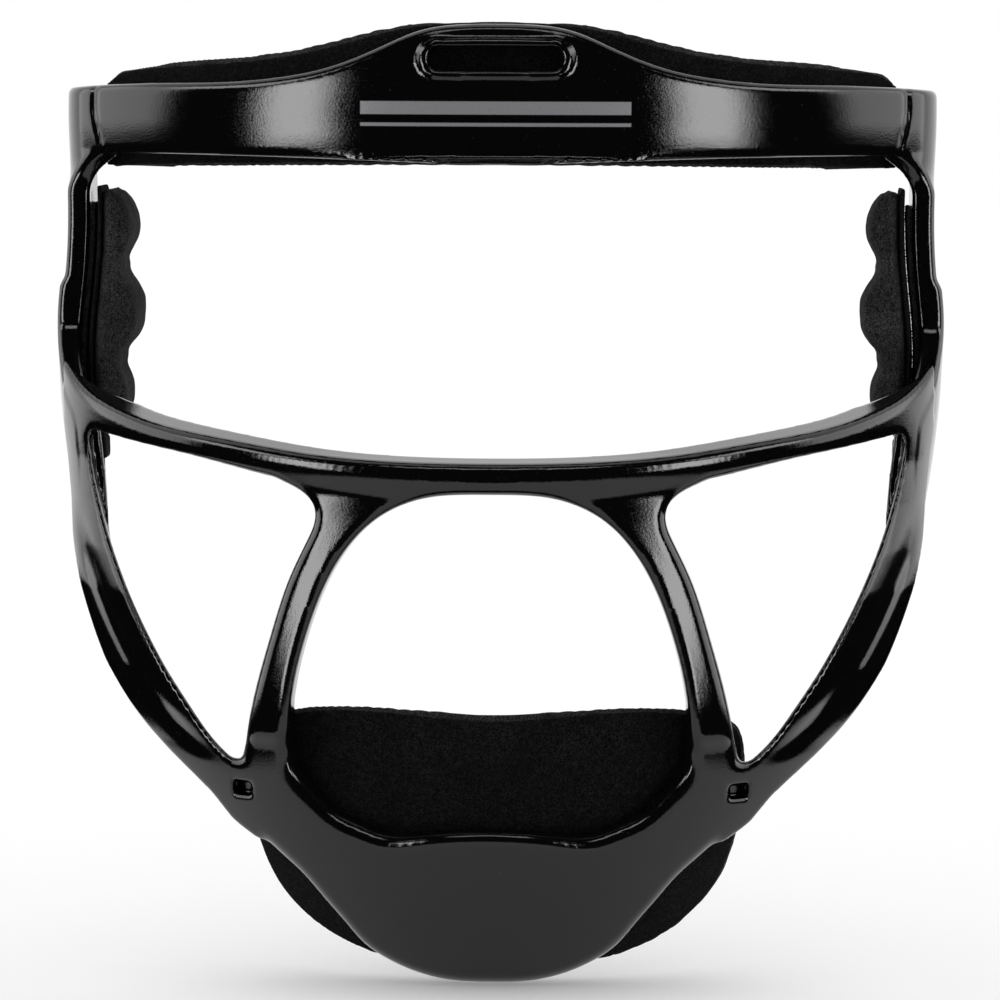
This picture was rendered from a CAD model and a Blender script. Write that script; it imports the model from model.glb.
"""Looks of the softball fielder's face mask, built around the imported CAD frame.

The moulded frame is one smooth implicit solid with rounded edges. The pads are implicit hulls
puffed by a cloth simulation. Lengths are worked out in millimetres and written in metres.
"""

import math

import bpy
import numpy as np
import openvdb as vdb
from mathutils import Matrix, Vector, noise


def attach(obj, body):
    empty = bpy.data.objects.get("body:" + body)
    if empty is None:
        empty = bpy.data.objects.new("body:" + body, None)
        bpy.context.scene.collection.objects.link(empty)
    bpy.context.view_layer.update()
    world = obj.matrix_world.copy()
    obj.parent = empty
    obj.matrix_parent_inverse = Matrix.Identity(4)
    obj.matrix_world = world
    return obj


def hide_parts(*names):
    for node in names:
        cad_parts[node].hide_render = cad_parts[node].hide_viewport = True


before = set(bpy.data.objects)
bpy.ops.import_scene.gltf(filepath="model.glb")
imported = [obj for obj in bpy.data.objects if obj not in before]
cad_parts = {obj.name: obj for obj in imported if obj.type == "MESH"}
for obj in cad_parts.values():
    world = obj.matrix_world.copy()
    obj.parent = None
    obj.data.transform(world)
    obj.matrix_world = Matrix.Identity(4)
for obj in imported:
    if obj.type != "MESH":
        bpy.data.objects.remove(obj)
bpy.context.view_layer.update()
MM = 0.001

# Dimensions shared with part.py, in millimetres ---------------------------------------------------
WALL = 4.6
BROW_Y = -17.5
BROW_RADIUS = 112.0
OUTER_CORNER, INNER_CORNER = 4.5, 2.5
TEMPLE_END = 47.0
WING_END = 61.5
SLOT = (27.0, 4.8)
SLOT_RIM = (31.0, 7.8)
RIM_HEIGHT = 0.9
BROW_SLOT_Z = 13.0
SIDE_SLOT = (53.6, -60.0)
RAKE = math.tan(math.radians(9.0))
TAPE, TAPE_GAP = 1.2, 0.3
BROW_PAD, CHIN_PAD = 11.4, 10.5
BROW_PAD_END, CHIN_PAD_END = 34.0, -6.0

# Sections at falling heights: (Z, half width, setback), (Z, front Y, half width, centre Y, wall).
TEMPLE_LEVELS = (
    (25.0, 89.3, 4.6), (14.0, 90.0, 1.9), (2.0, 90.4, 0.0), (-8.0, 90.1, 0.9),
    (-16.0, 89.8, 1.8), (-30.0, 90.2, 2.0), (-46.0, 91.6, 2.0), (-60.0, 91.0, 2.0),
    (-76.0, 88.9, 2.0), (-94.0, 85.4, 2.0),
)
CAGE_LEVELS = (
    (-40.0, -51.5, 91.8, 32.0, 9.5), (-58.0, -52.0, 91.4, 32.0, 9.5),
    (-76.0, -52.5, 89.4, 32.0, 8.6), (-100.0, -54.5, 83.6, 24.0, 8.2),
    (-124.0, -55.5, 73.5, 15.0, 6.2), (-140.0, -51.5, 64.0, 6.0, 5.0),
    (-154.0, -43.5, 55.0, 0.0, 4.8), (-166.0, -33.0, 47.5, 0.0, 4.8),
    (-174.0, -24.5, 42.0, 0.0, 4.8),
)
# Outlines of the right half: (X, Z) seen from the front, (Y, Z) seen from the side.
BROW_TOP = [
    (0, 19.9), (8, 19.7), (15, 18.6), (22, 15.8), (29, 12.8),
    (36, 10.6), (43, 9.3), (50, 8.5), (72, 7.8), (95, 6.4),
]
BROW_BOTTOM = [(0, -8.0), (24, -7.4), (56, -6.6), (84, -6.5), (95, -6.6)]
EYE_BAR_TOP = [
    (0, -65.9), (20, -65.5), (35, -64.3), (51, -62.2), (60, -61.0),
    (68, -59.7), (77, -57.2), (82, -55.0), (88, -49.5), (91, -43.0),
]
EYE_BAR_BOTTOM = [
    (0, -72.0), (20, -71.4), (43, -69.2), (59, -65.8), (72, -63.8), (82, -62.4), (91, -60.0),
]
MOUTH = [
    (0, -71.3), (13, -72.2), (22, -76.2), (26.2, -80), (29.2, -84), (33.3, -92), (36, -99.7),
    (38, -107.5), (39.5, -117), (39.4, -126.5), (35.7, -131.2), (31, -135.5), (25.7, -138),
    (21.2, -139.4), (12, -138.5), (6, -137.8), (0, -137.6),
]
SUPPORT_OUTSIDE = [
    (38.3, -68.2), (35.2, -72.2), (34.2, -76.5), (35.6, -80.6), (39.2, -88.2),
    (43.1, -100), (45.3, -107.7), (47.2, -116), (49.4, -126), (53, -133),
]
SHELL_OUTSIDE = [
    (51, -137), (47, -139.2), (41.7, -143.5), (37.2, -147.5), (32.6, -153),
    (28.8, -157.7), (25.4, -162), (20.1, -166), (8, -170.2), (0, -170.5),
]
# The lower bars are cut wider than the CAD's, since their rounded edges take some of it back.
LOWER_BAR_INSIDE = [
    (82.6, -58), (81.2, -69), (79.2, -77), (76.2, -85), (72.5, -93), (68.6, -100.3),
    (64.2, -107.7), (59.2, -115), (54.0, -121.6), (47, -127),
]
LOWER_BAR_OUTSIDE = [
    (46, -141), (52, -138.8), (61, -131.8), (69, -124.4), (75.2, -117),
    (80, -109.5), (83.6, -101), (87.4, -90), (90, -78), (93, -58),
]
BAR_REAR = [
    (16, -60), (14.5, -76), (11, -86), (4, -98), (-5, -111), (-17, -124), (-27, -134), (-32, -144),
]
BAR_BOW = [  # (-Z, how far the lower bars stand out past the cage's form)
    (68, 0), (77, 0.7), (85.5, 2.0), (93.5, 2.8), (108.5, 3.0),
    (116, 2.4), (123, 1.6), (131, 1.2), (138, 0.6), (146, 0),
]
FLUTE = [(84.6, -80), (81.6, -90), (77.0, -100), (70.4, -110.5), (62.4, -119.8), (55.4, -126.4)]
TEMPLE = [(-60, -30), (TEMPLE_END, -30), (TEMPLE_END, 2), (43, 7), (25, 30), (-60, 30)]
WING = [
    (21, -3), (24, -12), (24, -42), (14, -53), (3, -60), (3, -80), (10, -91),
    (50, -81), (WING_END, -70), (WING_END, -47), (TEMPLE_END, -28), (TEMPLE_END, -3),
]
BROW_PAD_TOP = [
    (0, 21.0), (20, 19.7), (32, 16.6), (40, 14.8), (48, 13.6),
    (63, 12.4), (73, 11.6), (79, 10.4), (82.5, 8.0),
]
BROW_PAD_BOTTOM = [(0, -8.6), (40, -9.0), (61, -9.4), (82.5, -10.2)]
CHIN_PAD_OUTLINE = [
    (0, -114.8), (43, -115.8), (48.6, -119), (49.8, -126), (49.3, -136), (47.6, -144.6),
    (44.2, -152.4), (36.8, -160.2), (27, -165.4), (12, -168.2), (0, -168.7),
]
SIDE_PAD_INSIDE = [
    (83.4, -12.5), (77.6, -14.6), (75.4, -18.8), (75.0, -24), (77.4, -30.1), (74.4, -35),
    (73.8, -40.5), (74.8, -45), (78.0, -49.2), (76.4, -53.6), (76.0, -57.8), (77.8, -62.4),
    (83.4, -64.5),
]
CORNER_CREASE = [(-7.5, 81.6), (-3, 82.4), (0, 83.2), (3, 83.5), (9, 83.3)]  # (Z, X)

# Details of the visual only, in millimetres
FRAME_VOXEL, PAD_VOXEL, SHEET_VOXEL, TAB_VOXEL, TAPE_VOXEL = 0.6, 1.6, 0.45, 0.3, 0.36
WALL_EDGE, CAGE_EDGE, BAR_EDGE, SLOT_EDGE = 1.4, 1.9, 2.5, 0.7
LOBE = 0.9
CREASE_DEPTH, CREASE_REACH = 0.55, 0.6
HOLLOW, STEP = 1.5, 1.1
FLUTE_DEPTH, FLUTE_REACH = 0.95, 1.7
DRAFT = 0.4
POCKET, POCKET_HALF, POCKET_DEPTH = (48.8, -130.6), (1.9, 1.4), 2.0
PUFF_LIMIT, GLUED_DEPTH = 1.0, 2.4
PRESSURE, PUFF_FRAMES = 300.0, 20
SEAM, SEAM_DEPTH, SEAM_REACH = 0.45, 2.9, 0.55
SCALLOP_ENDS, SCALLOP_REACH = (-30.1, -49.2), 1.3
TAB_CENTRE, TAB_HALF, TAB_THICKNESS = (82.4, 31, -65.6), (5, 4.5), 0.62
HOOK_HEIGHT, HOOK_RATE = 0.22, 4.8
CHIN_PAD_SHIFT = 0.8


# Curves and distances ---------------------------------------------------------------------------
def natural_spline(knots, values, at):
    """Natural cubic spline through the values, evaluated at the given places."""
    knots, values = np.asarray(knots, float), np.asarray(values, float)
    n, h = len(knots), np.diff(knots)
    system, right = np.eye(n), np.zeros((n,) + values.shape[1:])
    slope = np.diff(values, axis=0) / h.reshape(-1, *([1] * (values.ndim - 1)))
    for i in range(1, n - 1):
        system[i, i - 1], system[i, i], system[i, i + 1] = h[i - 1], 2 * (h[i - 1] + h[i]), h[i]
        right[i] = 6 * (slope[i] - slope[i - 1])
    bend = np.linalg.solve(system, right)
    k = np.clip(np.searchsorted(knots, at) - 1, 0, n - 2)
    shape = (-1,) + (1,) * (values.ndim - 1)
    a, b = (knots[k + 1] - at).reshape(shape), (at - knots[k]).reshape(shape)
    w = h[k].reshape(shape)
    curve = (bend[k] * a**3 + bend[k + 1] * b**3) / (6 * w)
    before = (values[k] / w - bend[k] * w / 6) * a
    after = (values[k + 1] / w - bend[k + 1] * w / 6) * b
    return curve + before + after


def smooth_line(points, step=1.0, closed=False):
    """Points along a smooth curve through the given points."""
    p = np.asarray(points, float)
    if closed:
        count = len(p)
        p = np.vstack([p, p, p, p[:1]])
    along = np.concatenate([[0], np.cumsum(np.linalg.norm(np.diff(p, axis=0), axis=1))])
    first, last = (along[count], along[2 * count]) if closed else (0.0, along[-1])
    places = np.linspace(first, last, max(8, int((last - first) / step)))
    return natural_spline(along, p, places)


def both_sides(half):
    return [(-x, z) for x, z in reversed(half) if x > 0] + list(half)


def filleted(points, radius):
    """The polygon with its corners rounded."""
    out, p = [], np.asarray(points, float)
    for before, corner, after in zip(np.roll(p, 1, axis=0), p, np.roll(p, -1, axis=0)):
        a, b = before - corner, after - corner
        la, lb = np.linalg.norm(a), np.linalg.norm(b)
        half = math.acos(np.clip(a @ b / (la * lb), -1, 1)) / 2
        cut = min(radius / math.tan(half), 0.45 * la, 0.45 * lb)
        start, stop = corner + a / la * cut, corner + b / lb * cut
        for t in np.linspace(0, 1, 9):
            out.append((1 - t) ** 2 * start + 2 * t * (1 - t) * corner + t * t * stop)
    return np.array(out)


def outline_distance(polygon, u, v):
    """Signed distance to a closed polygon over two broadcastable grids, negative inside."""
    p = np.asarray(polygon, np.float32)
    u, v = np.broadcast_arrays(u.astype(np.float32), v.astype(np.float32))
    best, inside = np.full(u.shape, 1e9, np.float32), np.zeros(u.shape, bool)
    for (ax, ay), (bx, by) in zip(p, np.roll(p, -1, axis=0)):
        dx, dy = bx - ax, by - ay
        if dx == 0 and dy == 0:
            continue
        t = np.clip(((u - ax) * dx + (v - ay) * dy) / (dx * dx + dy * dy), 0, 1)
        best = np.minimum(best, (u - ax - t * dx) ** 2 + (v - ay - t * dy) ** 2)
        if dy != 0:
            inside ^= ((ay > v) != (by > v)) & (u < dx * (v - ay) / dy + ax)
    return np.where(inside, -np.sqrt(best), np.sqrt(best))


def meet(a, b, r=1.5):
    """Intersection of two fields whose convex edge is rounded to the radius."""
    outside = np.sqrt(np.maximum(a + r, 0) ** 2 + np.maximum(b + r, 0) ** 2)
    return np.minimum(np.maximum(a, b), -r) + outside


def join(a, b, r=2.0):
    """Union of two fields whose concave edge is filled to the radius."""
    return -meet(-a, -b, r)


def link(name, data):
    """A new object in the scene."""
    made = bpy.data.objects.new(name, data)
    bpy.context.scene.collection.objects.link(made)
    return made


def capsule(u, v, length, width):
    """Distance to a slot outline centred on the origin, long along u."""
    return np.hypot(np.maximum(np.abs(u) - (length - width) / 2, 0), v) - width / 2


class Forms:
    """The forms of the mask as fields over places in millimetres."""

    def __init__(self, x, y, z):
        self.x, self.y, self.z = x, y, z
        heights = np.asarray(z, float).ravel()
        temple, cage = np.array(TEMPLE_LEVELS)[::-1], np.array(CAGE_LEVELS)[::-1]
        spread = lambda table, column: natural_spline(
            table[:, 0], table[:, column], np.clip(heights, table[0, 0], table[-1, 0])
        ).astype(np.float32).reshape(z.shape)
        self.half, self.setback = spread(temple, 1), spread(temple, 2)
        self.front, self.cage_half = spread(cage, 1), spread(cage, 2)
        self.centre, self.wall = spread(cage, 3), spread(cage, 4)

    def upright(self, field):
        """Corrects a distance measured in plan for the slope of the wall."""
        if field.ndim < 3:
            return field
        rise = np.gradient(field, self.voxel, axis=2)
        return field / np.sqrt(1 + np.clip(rise, -3, 3) ** 2)

    def ellipse(self, a, b, centre):
        """Distance to an ellipse in plan, close to true near its line."""
        u, v = self.x / a, (self.y - centre) / b
        k, g = np.sqrt(u * u + v * v) + 1e-6, np.sqrt((u / a) ** 2 + (v / b) ** 2) + 1e-6
        return k * (k - 1) / g

    def temple(self, inset):
        """The brow's plan: an arc between two side walls."""
        centre = BROW_Y + self.setback + BROW_RADIUS
        arc = np.hypot(self.x, self.y - centre) - (BROW_RADIUS - inset)
        corner = OUTER_CORNER if inset < 4 else INNER_CORNER
        return self.upright(meet(arc, np.abs(self.x) - (self.half - inset), corner))

    def wing(self, inset):
        """The wings' plan: straight side walls that turn into the cage's oval in front."""
        front, centre = CAGE_LEVELS[1][1], CAGE_LEVELS[1][3]
        oval = self.ellipse(self.half - inset, centre - front - inset, centre)
        return np.where(self.y < centre, oval, np.abs(self.x) - (self.half - inset))

    def cage(self, inset, wall=0):
        """The cage's plan, pulled in by the inset and, for its inner face, by the wall too."""
        pull = inset + wall * self.wall
        half, reach = self.cage_half - pull, self.centre - self.front - pull
        return self.upright(self.ellipse(half, reach, self.centre))

    def face_outline(self, polygon):
        return outline_distance(polygon, self.x, self.z)

    def side_outline(self, polygon):
        return outline_distance(polygon, self.y, self.z)


class Space(Forms):
    """A box of voxels over which fields are worked out and meshed."""

    def __init__(self, low, high, voxel):
        self.low, self.voxel = np.array(low, float), voxel
        axes = [np.arange(lo, hi + voxel, voxel, dtype=np.float32) for lo, hi in zip(low, high)]
        shapes = ((-1, 1, 1), (1, -1, 1), (1, 1, -1))
        super().__init__(*(axis.reshape(shape) for axis, shape in zip(axes, shapes)))

    def mesh(self, name, field):
        """Quad mesh of the field's surface, as an object in metres."""
        reach = 4 * self.voxel
        grid = vdb.FloatGrid(reach)
        grid.copyFromArray(np.ascontiguousarray(np.clip(field, -reach, reach), np.float32))
        points, quads = grid.convertToQuads(isovalue=0.0)
        points = (points * self.voxel + self.low) * MM
        data = bpy.data.meshes.new(name)
        data.from_pydata(points.tolist(), [], quads[:, ::-1].tolist())
        data.update()
        data.polygons.foreach_set("use_smooth", np.ones(len(data.polygons), bool))
        return link(name, data)


def relax(obj, rounds, factor=0.5):
    """Evens out a voxel mesh without shrinking it: smoothing steps that alternate in and out."""
    data = obj.data
    count = len(data.vertices)
    co = np.empty(count * 3)
    data.vertices.foreach_get("co", co)
    co = co.reshape(-1, 3)
    edges = np.empty(len(data.edges) * 2, int)
    data.edges.foreach_get("vertices", edges)
    a, b = edges.reshape(-1, 2).T
    degree = np.bincount(np.concatenate([a, b]), minlength=count).reshape(-1, 1)
    for i in range(2 * rounds):
        total = np.zeros_like(co)
        for axis in range(3):
            total[:, axis] = np.bincount(a, co[b, axis], count) + np.bincount(b, co[a, axis], count)
        co += (factor if i % 2 == 0 else -1.02 * factor) * (total / degree - co)
    data.vertices.foreach_set("co", co.ravel())
    data.update()


# The moulded frame --------------------------------------------------------------------------------
def bell(value, middle, reach):
    return np.exp(-(((value - middle) / reach) ** 2))


def smoothstep(value, low, high):
    t = np.clip((value - low) / (high - low), 0, 1)
    return t * t * (3 - 2 * t)


def band_field(s, top, bottom, rake=0.0):
    """Distance to a band between two front outlines, whose faces rise rearwards by the rake."""
    polygon = np.vstack([smooth_line(top), smooth_line(bottom)[::-1]])
    if rake == 0.0:
        return s.face_outline(polygon)
    level = np.linspace(-90, -10, 321)
    table = outline_distance(polygon, s.x[:, 0], level[None, :])
    place = np.clip((s.z - s.y * rake - level[0]) / (level[1] - level[0]), 0, len(level) - 1.001)
    below = place.astype(np.int32)
    share = (place - below).astype(np.float32)
    shape = (s.x.shape[0],) + place.shape[1:]
    column = np.broadcast_to(np.arange(s.x.shape[0]).reshape(-1, 1, 1), shape)
    below, share = np.broadcast_to(below, shape), np.broadcast_to(share, shape)
    return table[column, below] * (1 - share) + table[column, below + 1] * share


def raised(half):
    """Heights given at the eye bar's front, brought to Y=0 along its raked faces."""
    x, z = np.array(half, float).T
    heights = -np.array(CAGE_LEVELS)[:, 0]
    front, reach = (np.interp(-z, heights, np.array(CAGE_LEVELS)[:, i]) for i in (1, 2))
    y = 32 - (32 - front) * np.sqrt(np.maximum(0, 1 - (x / reach) ** 2))
    return both_sides(list(zip(x, z - y * RAKE)))


def flute_depth(s):
    """A shallow groove that runs down each lower bar and fades out at both of its ends."""
    x, z = smooth_line(FLUTE)[::-1].T
    slope = np.interp(s.z, z, np.gradient(x, z)).astype(np.float32)
    off = (np.abs(s.x) - np.interp(s.z, z, x).astype(np.float32)) / np.sqrt(1 + slope**2)
    fade = 1 - smoothstep(-s.z, 119, 126)
    return FLUTE_DEPTH * (bell(off, 0, FLUTE_REACH) * smoothstep(-s.z, 76, 92) * fade)


def upper_field(s):
    """Brow band and side wings: one wall, which turns from the brow's plan to the cage's."""
    turn = smoothstep(-s.z, 6, 15)
    lobe = LOBE * (smoothstep(-s.z, 31.5, 34.5) - smoothstep(-s.z, 36, 52))
    outer = s.temple(0) * (1 - turn) + s.wing(0) * turn - lobe
    inner = s.temple(WALL) * (1 - turn) + s.wing(WALL) * turn
    crease = np.abs(s.x) - np.interp(s.z, *np.transpose(CORNER_CREASE)).astype(np.float32)
    outer = outer + CREASE_DEPTH * bell(crease, 0, CREASE_REACH) * (1 - smoothstep(-s.z, 7, 9.5))
    band = band_field(s, both_sides(BROW_TOP), both_sides(BROW_BOTTOM))
    brow = np.maximum(band, s.side_outline(TEMPLE))
    side = meet(s.side_outline(filleted(WING, 5.0)), 79 - np.abs(s.x), 1.0)
    upper = meet(np.maximum(outer, -inner), join(brow, side, 4.0), WALL_EDGE)
    rim_outline = capsule(s.x, s.z - BROW_SLOT_Z, *SLOT_RIM)
    rim = meet(np.maximum(s.temple(-RIM_HEIGHT), -s.temple(2.0)), rim_outline, 0.8)
    upper = join(upper, np.maximum(rim, s.y), 0.8)
    slot = np.maximum(capsule(s.x, s.z - BROW_SLOT_Z, *SLOT), s.y - 10)
    return meet(upper, -slot, SLOT_EDGE)


def cage_outside(s, bow):
    """The cage's outer surface, with what stands out of it and what is sunk into it."""
    # Below its crisp top edge the eye bar's front falls away, then comes back into the supports.
    below = np.interp(np.abs(s.x), *np.transpose(EYE_BAR_TOP)).astype(np.float32) - 2.2 - s.z
    hollow = smoothstep(below, 0, 5) * (1 - smoothstep(below, 6, 17))
    hollow = hollow * (1 - smoothstep(np.abs(s.x), 48, 68))
    # Each support stands slightly proud and ends in a rounded step on the chin shell.
    step = smoothstep(-s.z, 90, 118) * (1 - smoothstep(-s.z, 118.5, 122))
    step = step * (1 - smoothstep(np.abs(s.x), 51, 56))
    return s.cage(0) + HOLLOW * hollow - STEP * step - bow + flute_depth(s)


def eye_bar_field(s):
    """The eye bar, whose front is bounded by a slanting plane at each end."""
    band = band_field(s, raised(EYE_BAR_TOP), raised(EYE_BAR_BOTTOM), RAKE)
    corner = np.minimum(((np.abs(s.x) - 72) * -16.5 + (s.y + 2) * 14.3) / 21.8, s.y + 2)
    return meet(meet(band, corner, 4.0), s.y - 14, 1.0)


def lower_bar_field(s, out):
    """The lower bars; their inner edges lean away behind the front, to leave the mould."""
    bar_line = np.vstack([smooth_line(LOWER_BAR_INSIDE), smooth_line(LOWER_BAR_OUTSIDE)])
    rear = np.vstack([smooth_line(BAR_REAR), [(-80, -144), (-80, -60)]])
    bars = meet(outline_distance(bar_line, np.abs(s.x), s.z), s.side_outline(rear), BAR_EDGE)
    window_line = np.vstack([smooth_line(LOWER_BAR_INSIDE), [(0, -127), (0, -58)]])
    window = outline_distance(window_line, np.abs(s.x), s.z)
    return meet(bars, DRAFT * np.clip(-out, 0, 9) - window, 0.6)


def cage_field(s):
    """Eye bar, supports, lower bars and chin shell.

    Their outlines are joined before they meet the wall, so that the wall stays even.
    """
    bow = np.interp(-s.z, *np.transpose(BAR_BOW)).astype(np.float32)
    bow = bow * smoothstep(np.abs(s.x), 50, 72)
    out, into = cage_outside(s, bow), s.cage(0, wall=1) - bow
    support = smooth_line(SUPPORT_OUTSIDE)
    shell_line = smooth_line(both_sides(SHELL_OUTSIDE[::-1]))
    guard = s.face_outline(np.vstack([(support * (-1, 1))[::-1], support, shell_line[::-1]]))
    face = join(eye_bar_field(s), np.maximum(guard, s.y), 5.0)
    face = join(face, lower_bar_field(s, out), 3.0)
    mouth = s.face_outline(smooth_line(both_sides(MOUTH)[:-1], closed=True))
    bevel = 0.6 + 2.6 * smoothstep(-s.z, 112, 124)
    bevel = bevel * (0.55 + 0.45 * smoothstep(np.abs(s.x), 8, 26))
    face = meet(face, -(mouth + bevel * np.clip(-out / s.wall, 0, 1)), 1.0)
    cage = meet(np.maximum(out, -into), face, CAGE_EDGE)
    across, up = np.abs(np.abs(s.x) - POCKET[0]), np.abs(s.z - POCKET[1])
    pocket = np.maximum(across - POCKET_HALF[0], up - POCKET_HALF[1])
    return meet(cage, -np.maximum(pocket, -out - POCKET_DEPTH), 0.5)


def frame_field(s):
    """The frame: one moulding, with a strap slot through each wing."""
    body = join(upper_field(s), cage_field(s), 1.0)
    slot = capsule(s.z - SIDE_SLOT[1], s.y - SIDE_SLOT[0], *SLOT)
    return meet(body, -slot, SLOT_EDGE)


def mirrored_mesh(name, make_field, low, high, voxel):
    """Mesh of a field that is worked out for X>=0 only and mirrored; low X is ignored."""
    half = Space((0.0, low[1], low[2]), high, voxel)
    field = make_field(half)
    whole = np.concatenate([field[:0:-1], field], axis=0)
    half.low = np.array([-(field.shape[0] - 1) * voxel, low[1], low[2]])
    return half.mesh(name, whole)


shell = mirrored_mesh("frame_shell", frame_field, (0, -58, -174), (94, 65, 24), FRAME_VOXEL)
relax(shell, 4)
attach(shell, "mask")
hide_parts("frame")


# Pads and hook tape -------------------------------------------------------------------------------
def hull(back, outline, outer, swell):
    """A pad's hull: rounded by swell on the wearer's side, with a tight edge where it is glued."""
    return meet(meet(back, outline, swell), outer, 0.25 if swell < 1 else 1.0)


def brow_pad_field(s, inset, near, far=None, swell=3.5):
    """The brow pad between two depths, its outline pulled in by the inset."""
    gap = WALL + TAPE + TAPE_GAP
    outline = band_field(s, both_sides(BROW_PAD_TOP), both_sides(BROW_PAD_BOTTOM)) + inset
    outline = meet(outline, s.y - BROW_PAD_END + inset, 4.0)
    return hull(-s.temple(gap + (far or BROW_PAD - inset)), outline, s.temple(gap + near), swell)


def chin_pad_field(s, inset, near, far=None, swell=3.5):
    """The chin pad between two depths, its outline pulled in by the inset."""
    gap = TAPE + TAPE_GAP
    outline = s.face_outline(smooth_line(both_sides(CHIN_PAD_OUTLINE)[:-1], closed=True)) + inset
    outline = meet(outline, s.y - CHIN_PAD_END + inset, 4.0)
    back = -s.cage(gap + (far or CHIN_PAD - inset), wall=1)
    return hull(back, outline, s.cage(gap + near, wall=1), swell)


def side_pad_field(s, inset, near, far=None, swell=2.8):
    """The right side pad, whose wearer's side has three scallops."""
    gap = WALL + TAPE + TAPE_GAP
    outline = meet(np.abs(s.y - 34.5) - 14 + inset, np.abs(s.z + 38.5) - 26 + inset, 5.0)
    scallops = np.vstack([smooth_line(SIDE_PAD_INSIDE, 0.5), [(95, -64.5), (95, -12.5)]])
    back = -s.wing(gap + far) if far else s.face_outline(scallops) + inset
    return hull(back, outline, s.wing(gap + near), swell)


def vertices(data):
    co = np.empty(len(data.vertices) * 3)
    data.vertices.foreach_get("co", co)
    return co.reshape(-1, 3)


def reshape(obj, co):
    obj.data.vertices.foreach_set("co", co.ravel())
    obj.data.update()


def puff(obj, glued):
    """Swells a cloth hull by a short simulation, with glued points held and the travel capped."""
    start = vertices(obj.data)
    group = obj.vertex_groups.new(name="glued")
    group.add(np.flatnonzero(glued).tolist(), 1.0, "ADD")
    cloth = obj.modifiers.new("cloth", "CLOTH").settings
    cloth.use_pressure, cloth.uniform_pressure_force = True, PRESSURE
    cloth.vertex_group_mass = "glued"
    cloth.quality = 4
    cloth.effector_weights.gravity = 0.0
    scene = bpy.context.scene
    for number in range(1, PUFF_FRAMES + 1):
        scene.frame_set(number)
    view = obj.evaluated_get(bpy.context.evaluated_depsgraph_get())
    move = vertices(view.data) - start
    obj.modifiers.clear()
    obj.vertex_groups.clear()
    scene.frame_set(1)
    length = np.linalg.norm(move, axis=1, keepdims=True) + 1e-12
    reshape(obj, start + move * np.minimum(1, PUFF_LIMIT * MM / length))


def subdivided(obj):
    """One round of subdivision, applied."""
    obj.modifiers.new("subdivide", "SUBSURF").levels = 1
    view = obj.evaluated_get(bpy.context.evaluated_depsgraph_get())
    data = bpy.data.meshes.new_from_object(view)
    obj.modifiers.clear()
    obj.data = data


def normals(data):
    out = np.empty(len(data.vertices) * 3)
    data.vertices.foreach_get("normal", out)
    return out.reshape(-1, 3)


def mirrored_copy(obj, name):
    """The same piece on the other side of the mask."""
    made = link(name, obj.data.copy())
    reshape(made, vertices(made.data) * (-1, 1, 1))
    made.data.flip_normals()
    return made


PADS = (  # name, field, low corner, high corner, spans both sides, form it is glued along
    ("brow_pad", brow_pad_field, (0, -18, -14), (86, 38, 25), True,
     lambda f: f.temple(WALL + TAPE + TAPE_GAP)),
    ("chin_pad", chin_pad_field, (0, -58, -174), (56, -2, -110), True,
     lambda f: f.cage(TAPE + TAPE_GAP, wall=1)),
    ("right_pad", side_pad_field, (68, 16, -69), (90, 53, -8), False,
     lambda f: f.wing(WALL + TAPE + TAPE_GAP)),
)


def pad_mesh(name, field, low, high, both, voxel):
    """Mesh of a field over a box, or over the box and its mirror image."""
    if both:
        return mirrored_mesh(name, field, low, high, voxel)
    space = Space(low, high, voxel)
    return space.mesh(name, field(space))


def own(piece, body, node):
    """Puts a piece on its body, in place of the node it stands for."""
    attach(piece, body)
    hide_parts(node)


def make_pad(name, field, low, high, both, outer):
    """Facing, foam and backing of one pad; the facing is puffed by a cloth simulation."""
    facing = pad_mesh(name + "_cover", lambda s: field(s, 0.35, 1.15), low, high, both, PAD_VOXEL)
    relax(facing, 2)
    place = vertices(facing.data) / MM
    depth = -outer(Forms(*place.T))
    puff(facing, depth < GLUED_DEPTH)
    relax(facing, 2)
    subdivided(facing)
    co = vertices(facing.data)
    place = co / MM
    depth = -outer(Forms(*place.T))
    dent = SEAM * bell(depth, SEAM_DEPTH, SEAM_REACH)
    if name == "right_pad":
        for level in SCALLOP_ENDS:
            line = SEAM * bell(place[:, 2], level, SCALLOP_REACH)
            dent += line * np.clip((depth - 3.5) / 2, 0, 1)
    lumps = [noise.noise(Vector(p) * 0.16) + 0.5 * noise.noise(Vector(p) * 0.45) for p in place]
    dent += 0.16 * np.array(lumps) * np.clip((depth - 3) / 2, 0, 1)
    reshape(facing, co - normals(facing.data) * dent.reshape(-1, 1) * MM)
    foam = pad_mesh(name + "_core", lambda s: field(s, 1.8, 2.2), low, high, both, PAD_VOXEL)
    relax(foam, 2)
    sheet = lambda s: field(s, 0.9, 0.06, 0.92, 0.3)
    backing = pad_mesh(name + "_loop_sheet", sheet, low, high, both, SHEET_VOXEL)
    relax(backing, 3)
    return facing, foam, backing


def settle(name, facing, foam, backing):
    """Declares one pad's pieces."""
    own(facing, name, name + "_facing")
    own(foam, name, name + "_foam")
    own(backing, name, name + "_backing")


pads = {}
for pad_name, field, low, high, both, outer in PADS:
    pads[pad_name] = make_pad(pad_name, field, low, high, both, outer)
for piece in pads["chin_pad"]:  # stuck on slightly off the middle
    reshape(piece, vertices(piece.data) + (CHIN_PAD_SHIFT * MM, 0, 0))
pads["left_pad"] = tuple(
    mirrored_copy(piece, piece.name.replace("right", "left")) for piece in pads["right_pad"]
)
for pad_name, pieces in pads.items():
    settle(pad_name, *pieces)


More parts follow.
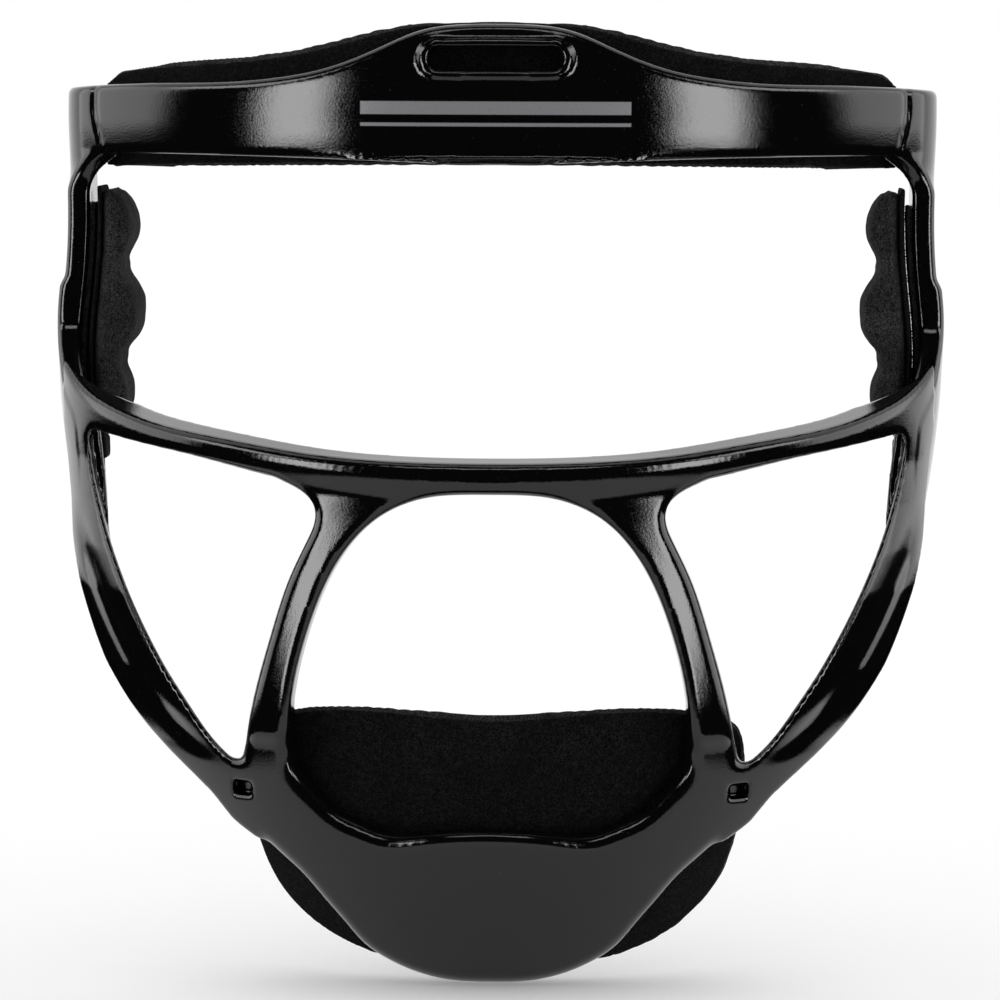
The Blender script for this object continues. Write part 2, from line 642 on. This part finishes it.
def tab_field(s):
    """Doubled cloth tab under a side pad, its lower end curling towards the front."""
    x, y, z = TAB_CENTRE
    bend = 0.018 * (s.z + 64.5) ** 2
    sheet = np.abs(s.x - x + 0.35 * bend) - TAB_THICKNESS
    outline = meet(np.abs(s.y - y + bend) - TAB_HALF[0], np.abs(s.z - z) - TAB_HALF[1], 2.0)
    stitch = np.abs(s.z + 65.4 + 0.1 * np.sin(s.y * 3.2)) - 0.12
    groove = 0.35 - np.hypot(np.maximum(stitch, 0), np.maximum(-sheet, 0))
    return meet(meet(sheet, outline, 0.5), groove, 0.1)


tab = pad_mesh("right_pull_tab", tab_field, (79, 22, -72), (86, 40, -60), False, TAB_VOXEL)
relax(tab, 2)
own(tab, "right_pad", "right_pad_tab")
other_tab = mirrored_copy(tab, "left_pull_tab")
own(other_tab, "left_pad", "left_pad_tab")


def hooks(a, b):
    """Rows of tiny hooks: an egg-crate relief over two directions, 1.3 mm apart."""
    return HOOK_HEIGHT * np.sin(a * HOOK_RATE) * np.sin(b * HOOK_RATE)


def brow_tape_field(s):
    sheet = np.maximum(s.temple(WALL + 0.02), -s.temple(WALL + TAPE - 0.25) - hooks(s.x, s.z))
    return meet(sheet, meet(np.abs(s.x) - 62, np.abs(s.z) - 5, 1.0), 0.3)


def chin_tape_field(s):
    sheet = np.maximum(s.cage(0.02, wall=1), -s.cage(TAPE - 0.25, wall=1) - hooks(s.x, s.z))
    return meet(sheet, meet(np.abs(s.x) - 25, np.abs(s.z + 147) - 8, 1.0), 0.3)


def side_tape_field(s):
    sheet = np.maximum(s.wing(WALL + 0.02), -s.wing(WALL + TAPE - 0.25) - hooks(s.y, s.z))
    return meet(sheet, meet(np.abs(s.y - 34) - 8, np.abs(s.z + 38) - 21, 1.0), 0.3)


TAPES = (  # place, field, low corner, high corner, spans both sides
    ("brow", brow_tape_field, (0, -16, -7), (64, 22, 7), True),
    ("chin", chin_tape_field, (0, -54, -157), (27, -20, -137), True),
    ("right", side_tape_field, (79, 24, -61), (90, 44, -15), False),
)
tapes = {row[0]: pad_mesh(row[0] + "_hooks", *row[1:], TAPE_VOXEL) for row in TAPES}
tapes["left"] = mirrored_copy(tapes["right"], "left_hooks")
for place_name, piece in tapes.items():
    own(piece, "mask", place_name + "_hook_tape")


# Materials ----------------------------------------------------------------------------------------
class Nodes:
    """A new material's node tree with short ways to add and link nodes."""

    def __init__(self, name):
        self.material = bpy.data.materials.new(name)
        self.material.use_nodes = True
        self.tree = self.material.node_tree
        self.shader = self.tree.nodes["Principled BSDF"]
        self.place = self.add("ShaderNodeTexCoord").outputs["Object"]

    def plug(self, socket, value):
        """Links a socket to the input, or sets the input to a constant."""
        if isinstance(value, bpy.types.NodeSocket):
            self.tree.links.new(value, socket)
        else:
            socket.default_value = value

    def add(self, kind, inputs=None, **settings):
        node = self.tree.nodes.new(kind)
        for key, value in settings.items():
            setattr(node, key, value)
        for key, value in (inputs or {}).items():
            self.plug(node.inputs[key], value)
        return node

    def noise(self, scale, detail=4.0, rough=0.6, place=None):
        inputs = {
            "Vector": place or self.place, "Scale": scale, "Detail": detail, "Roughness": rough,
        }
        return self.add("ShaderNodeTexNoise", inputs).outputs["Fac"]

    def math(self, operation, a, b=0.0, c=0.0, clamp=False):
        node = self.add("ShaderNodeMath", {0: a, 1: b, 2: c}, operation=operation, use_clamp=clamp)
        return node.outputs[0]

    def vector(self, operation, a, b):
        return self.add("ShaderNodeVectorMath", {0: a, 1: b}, operation=operation).outputs[0]

    def spread(self, value, low, high, to_low=0.0, to_high=1.0):
        inputs = {0: value, 1: low, 2: high, 3: to_low, 4: to_high}
        return self.add("ShaderNodeMapRange", inputs).outputs[0]

    def mix(self, share, a, b):
        return self.add("ShaderNodeMix", {0: share, 6: a, 7: b}, data_type="RGBA").outputs[2]

    def bump(self, height, distance, strength=1.0, under=None):
        inputs = {"Height": height, "Distance": distance, "Strength": strength}
        if under is not None:
            inputs["Normal"] = under
        return self.add("ShaderNodeBump", inputs).outputs[0]

    def set(self, **values):
        for key, value in values.items():
            self.plug(self.shader.inputs[key.replace("_", " ")], value)
        return self.material


def grey(level, tint=1.0):
    return (level, level, level * tint, 1.0)


PRINT_HALF_LENGTH, PRINT_SOFTNESS = 0.027, 0.00008
BAR_PRINT, LINE_PRINT = (0.0032, 0.0013), (-0.0001, 0.00035)  # (Z, half height), in metres


def plastic_material():
    """Glossy black moulding: orange peel, dust, fine scuffs and a plain printed band."""
    n = Nodes("glossy_black_moulding")
    dust = n.spread(n.noise(2600, 2, 0.5), 0.72, 0.78)
    cloud = n.spread(n.noise(60, 6, 0.65), 0.45, 0.75)
    smear = n.spread(n.noise(260, 6, 0.75), 0.55, 0.8)
    axes = n.add("ShaderNodeSeparateXYZ", {0: n.place}).outputs

    def inside(value, middle, reach):
        off = n.math("ABSOLUTE", n.math("SUBTRACT", value, middle))
        return n.spread(off, reach - PRINT_SOFTNESS, reach + PRINT_SOFTNESS, 1.0, 0.0)

    rows = n.math("ADD", inside(axes[2], *BAR_PRINT), inside(axes[2], *LINE_PRINT), clamp=True)
    front = n.spread(axes[1], -0.004, -0.005)
    length = inside(axes[0], 0.0, PRINT_HALF_LENGTH)
    ink = n.math("MULTIPLY", n.math("MULTIPLY", rows, front), length)
    ink = n.math("MULTIPLY", ink, n.spread(n.noise(3000, 3), 0.25, 0.4, 0.75, 1.0))
    colour = n.mix(ink, n.mix(dust, grey(0.0018), grey(0.03)), grey(0.17, 1.06))
    rough = n.math("ADD", n.math("MULTIPLY", cloud, 0.03), n.math("MULTIPLY", smear, 0.05))
    dull = n.math("MULTIPLY", n.math("MAXIMUM", dust, ink), 0.25)
    rough = n.math("ADD", n.math("ADD", rough, 0.03), dull)
    peel = n.bump(n.noise(330, 3), 0.00005, 0.3)
    grain = n.bump(n.noise(2400, 3, 0.7), 0.00005, 0.4, under=peel)
    return n.set(
        Base_Color=colour, Roughness=rough, Normal=grain, IOR=1.5, Specular_IOR_Level=0.44
    )


def fabric_material(name, base, light, scale, distance=0.0004, sheen=0.0):
    """Brushed knit: a nap of small tangled loops, lighter where the fibres stand up."""
    n = Nodes(name)
    wander = n.add("ShaderNodeTexNoise", {"Vector": n.place, "Scale": scale * 0.45, "Detail": 3.0})
    bent = n.vector("MULTIPLY", wander.outputs["Color"], (0.0011, 0.0011, 0.0011))
    place = n.vector("ADD", n.place, bent)
    inputs = {"Vector": place, "Scale": scale * 1.5, "Randomness": 1.0}
    loops = n.add("ShaderNodeTexVoronoi", inputs, feature="DISTANCE_TO_EDGE").outputs["Distance"]
    fibre = n.noise(scale, 4, 0.75, place)
    patch = n.spread(n.noise(90, 4), 0.3, 0.7)
    nap = n.math("MULTIPLY", fibre, n.spread(loops, 0.0, 0.35, 1.0, 0.35))
    worn = n.spread(patch, 0, 1, 0.7, 1.0)
    tone = n.math("MULTIPLY", n.spread(nap, 0.2, 0.47), worn, clamp=True)
    tone = n.math("POWER", tone, 2.5)
    return n.set(
        Base_Color=n.mix(tone, grey(base, 1.04), grey(light, 1.05)), Roughness=0.95,
        Normal=n.bump(nap, distance, 0.9), Sheen_Weight=sheen, Sheen_Roughness=0.5,
        Specular_IOR_Level=0.04,
    )


black_plastic = plastic_material()
knit = fabric_material("brushed_knit", 0.0004, 0.08, scale=2200, sheen=0.004)
loop_cloth = fabric_material("loop_cloth", 0.0008, 0.012, scale=1300, sheen=0.008)
tape_cloth = fabric_material("hook_tape", 0.004, 0.03, scale=1100, distance=0.0006, sheen=0.1)
foam_skin = fabric_material("closed_cell_foam", 0.012, 0.03, scale=2200, distance=0.0001, sheen=0.0)


def dress(obj, material):
    obj.data.materials.clear()
    obj.data.materials.append(material)


dress(shell, black_plastic)
for facing, foam, backing in pads.values():
    dress(facing, knit)
    dress(foam, foam_skin)
    dress(backing, loop_cloth)
for piece in (tab, other_tab):
    dress(piece, loop_cloth)
for piece in tapes.values():
    dress(piece, tape_cloth)


# Stage, camera and lights (in metres) ---------------------------------------------------------
FLOOR, FLOOR_GLOW = -0.1712, 0.16
ELEVATION, AZIMUTH, ROLL = math.radians(4.5), math.radians(1.5), math.radians(0.22)
TARGET, DISTANCE = Vector((0, -0.015, -0.075)), 1.1
SENSOR, FOCAL_LENGTH, SHIFT = 36.0, 198.0, 0.006
AIM = (0, 0, -0.07)
SOFTBOX_HEIGHT, SOFTBOX_SIZE, SOFTBOX_POWER = 0.06, (0.21, 0.46), 3.0
DARK = 0.004
TABLES = (  # name, X range, Y range
    ("far_table", -4, 4, -3, -0.27),
    ("left_table", -4, -0.145, -0.27, 0.6),
    ("right_table", 0.145, 4, -0.27, 0.6),
)


def staged(name, points, faces, material):
    """A piece of the stage, which is not part of the mask."""
    data = bpy.data.meshes.new(name)
    data.from_pydata(points, [], faces)
    made = link(name, data)
    made.data.materials.append(material)
    return made


def plane(name, corners, material):
    return staged(name, corners, [(0, 1, 2, 3)], material)


def only_reflected(made):
    """Hides a piece of the stage from everything but the mask's gloss."""
    made.visible_camera = made.visible_diffuse = made.visible_shadow = False


def plain(name, colour, rough=0.9, emission=0.0):
    """A matt colour without gloss, which may also emit white light."""
    n = Nodes(name)
    if emission:
        n.set(Emission_Color=(1, 1, 1, 1), Emission_Strength=emission)
    return n.set(Base_Color=colour, Roughness=rough, Specular_IOR_Level=0.0)


floor_finish = plain("pale_floor", grey(0.86), emission=FLOOR_GLOW)
plane("floor", [(-6, -6, FLOOR), (6, -6, FLOOR), (6, 6, FLOOR), (-6, 6, FLOOR)], floor_finish)

flat = math.cos(ELEVATION)
forward = Vector((-math.sin(AZIMUTH) * flat, math.cos(AZIMUTH) * flat, -math.sin(ELEVATION)))
lens = bpy.data.cameras.new("camera")
lens.sensor_width, lens.lens, lens.shift_x = SENSOR, FOCAL_LENGTH, SHIFT
lens.clip_start = 0.05
camera = link("camera", lens)
camera.matrix_world = (
    Matrix.Translation(TARGET - DISTANCE * forward)
    @ forward.to_track_quat("-Z", "Y").to_matrix().to_4x4()
    @ Matrix.Rotation(ROLL, 4, "Z")
)
bpy.context.scene.camera = camera

world = bpy.data.worlds.new("world")
world.use_nodes = True
world.node_tree.nodes["Background"].inputs["Color"].default_value = (1, 1, 1, 1)
world.node_tree.nodes["Background"].inputs["Strength"].default_value = 1.0
bpy.context.scene.world = world


def softbox(name, place, aim):
    """A rectangular studio light that shows in the gloss but adds no diffuse light."""
    light = bpy.data.lights.new(name, "AREA")
    light.shape, light.energy = "RECTANGLE", SOFTBOX_POWER
    light.size, light.size_y = SOFTBOX_SIZE
    made = link(name, light)
    made.location = place
    made.rotation_euler = (Vector(aim) - Vector(place)).to_track_quat("-Z", "Y").to_euler()
    made.visible_camera = made.visible_diffuse = False


def dark_room(rings=10, turns=24, radius=2.6, top=88, side=96):
    """The unlit studio in front of the mask: a half dome that only reflections see."""
    points, faces = [], []
    for i in range(rings + 1):
        lift = math.radians(top * i / rings)
        for k in range(turns + 1):
            around = math.radians(-side + 2 * side * k / turns)
            points.append((
                radius * math.cos(lift) * math.sin(around),
                -radius * math.cos(lift) * math.cos(around),
                FLOOR + 0.02 + radius * math.sin(lift),
            ))
    for i in range(rings):
        for k in range(turns):
            a = i * (turns + 1) + k
            faces.append((a, a + 1, a + turns + 2, a + turns + 1))
    only_reflected(staged("dark_room", points, faces, plain("dark_wall", grey(DARK), 1.0)))


def glow(name, place, width, height, radiance):
    """A lit panel that faces the mask and is seen in its gloss only."""
    place = Vector(place)
    turn = (Vector(AIM) - place).to_track_quat("Z", "Y").to_matrix()
    square = ((-1, -1), (1, -1), (1, 1), (-1, 1))
    corners = [place + turn @ Vector((u * width / 2, v * height / 2, 0)) for u, v in square]
    finish = plain(name, grey(0.0), emission=radiance)
    only_reflected(plane(name, [tuple(corner) for corner in corners], finish))


dark_room()
for name, x0, x1, y0, y1 in TABLES:
    h = FLOOR + 0.004
    corners = [(x0, y0, h), (x1, y0, h), (x1, y1, h), (x0, y1, h)]
    only_reflected(plane(name, corners, plain(name, grey(DARK), 1.0)))

for name, side in (("left", -1), ("right", 1)):
    softbox(name + "_softbox", (side * 0.55, -0.5, SOFTBOX_HEIGHT), (0, 0, SOFTBOX_HEIGHT))
    glow(name + "_side_wall", (side * 1.6, 0.32, 0.4), 1.3, 1.5, 2.4)
    glow(name + "_high_panel", (side * 1.35, -0.45, 1.0), 0.9, 0.5, 5.0)
glow("top_panel", (0, -0.9, 1.6), 1.2, 0.35, 4.0)

bpy.context.scene.view_settings.view_transform = "Standard"
